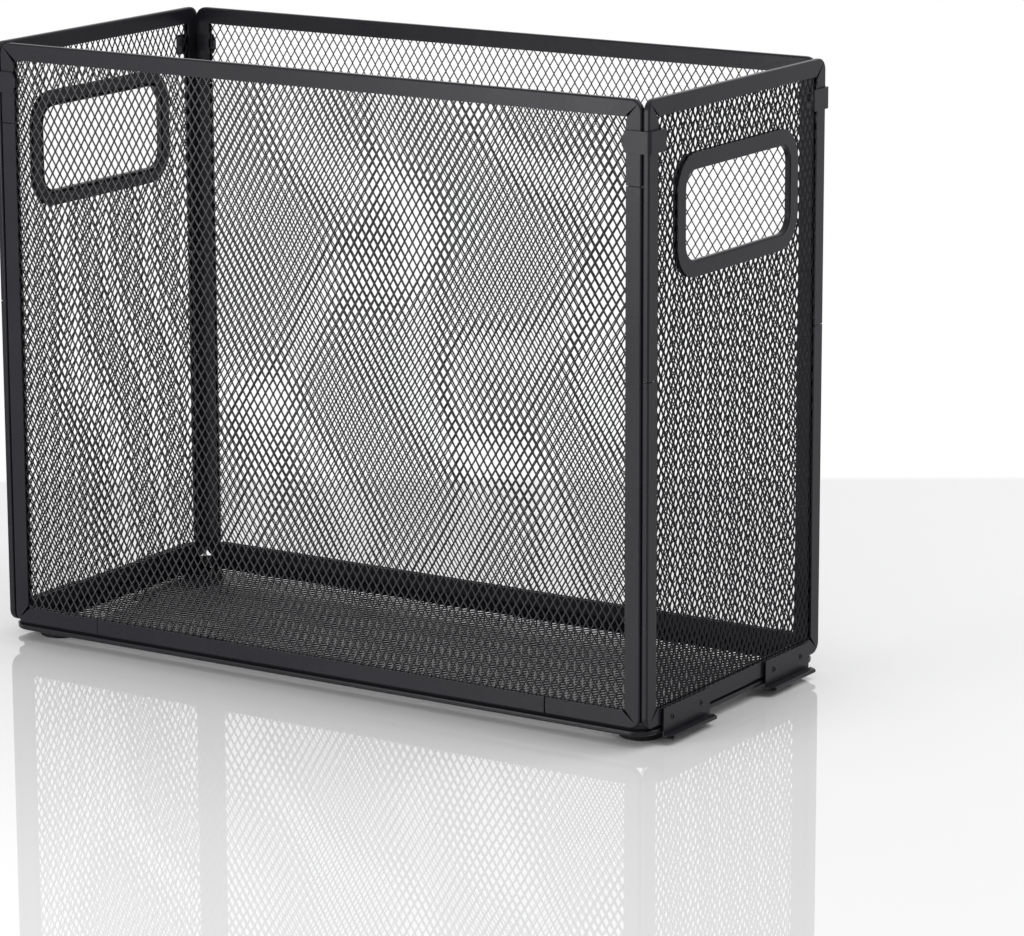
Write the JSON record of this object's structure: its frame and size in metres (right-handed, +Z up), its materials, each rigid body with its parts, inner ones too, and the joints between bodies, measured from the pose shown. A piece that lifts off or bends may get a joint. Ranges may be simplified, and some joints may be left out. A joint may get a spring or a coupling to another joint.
{
  "type": "metal mesh storage basket",
  "caption": "Open-topped metal mesh basket for hanging folders, with framed walls, a hand hole in each end and a framed base held by catches.",
  "frame": {"origin": "on the ground, under the middle of the basket", "axes": "+X along the long side, +Y from the front long wall to the back one, +Z up"},
  "size_m": [0.3312, 0.1422, 0.2586],
  "materials": {
    "powder_coat": "satin black powder coat on folded steel sheet",
    "coated_mesh": "satin black powder coat on expanded steel mesh",
    "foot_rubber": "matt black rubber"
  },
  "bodies": {
    "walls": {"front_frame_top": "powder_coat", "front_frame_left": "powder_coat", "front_frame_right": "powder_coat", "front_frame_bottom": "powder_coat", "front_mesh": "coated_mesh", "back_frame_top": "powder_coat", "back_frame_left": "powder_coat", "back_frame_right": "powder_coat", "back_frame_bottom": "powder_coat", "back_mesh": "coated_mesh", "left_frame_top": "powder_coat", "left_frame_bottom": "powder_coat", "left_mesh": "coated_mesh", "left_handle_ring": "powder_coat", "left_handle_backing": "powder_coat", "right_frame_top": "powder_coat", "right_frame_bottom": "powder_coat", "right_mesh": "coated_mesh", "right_handle_ring": "powder_coat", "right_handle_backing": "powder_coat", "strap_front_left": "powder_coat", "strap_front_right": "powder_coat", "strap_back_left": "powder_coat", "strap_back_right": "powder_coat", "catch_left_front": "powder_coat", "catch_left_back": "powder_coat", "catch_right_front": "powder_coat", "catch_right_back": "powder_coat", "rivet_left_front_a": "powder_coat", "rivet_left_front_b": "powder_coat", "rivet_left_back_a": "powder_coat", "rivet_left_back_b": "powder_coat", "rivet_right_front_a": "powder_coat", "rivet_right_front_b": "powder_coat", "rivet_right_back_a": "powder_coat", "rivet_right_back_b": "powder_coat"},
    "base": {"base_frame": "powder_coat", "base_mesh": "coated_mesh", "foot_front_left": "foot_rubber", "foot_front_right": "foot_rubber", "foot_back_left": "foot_rubber", "foot_back_right": "foot_rubber"}
  },
  "joints": [
    {"name": "base_release", "type": "slide", "parent": "walls", "child": "base", "axis": [0, 0, -1], "range_m": [0, 0.04]}
  ]
}
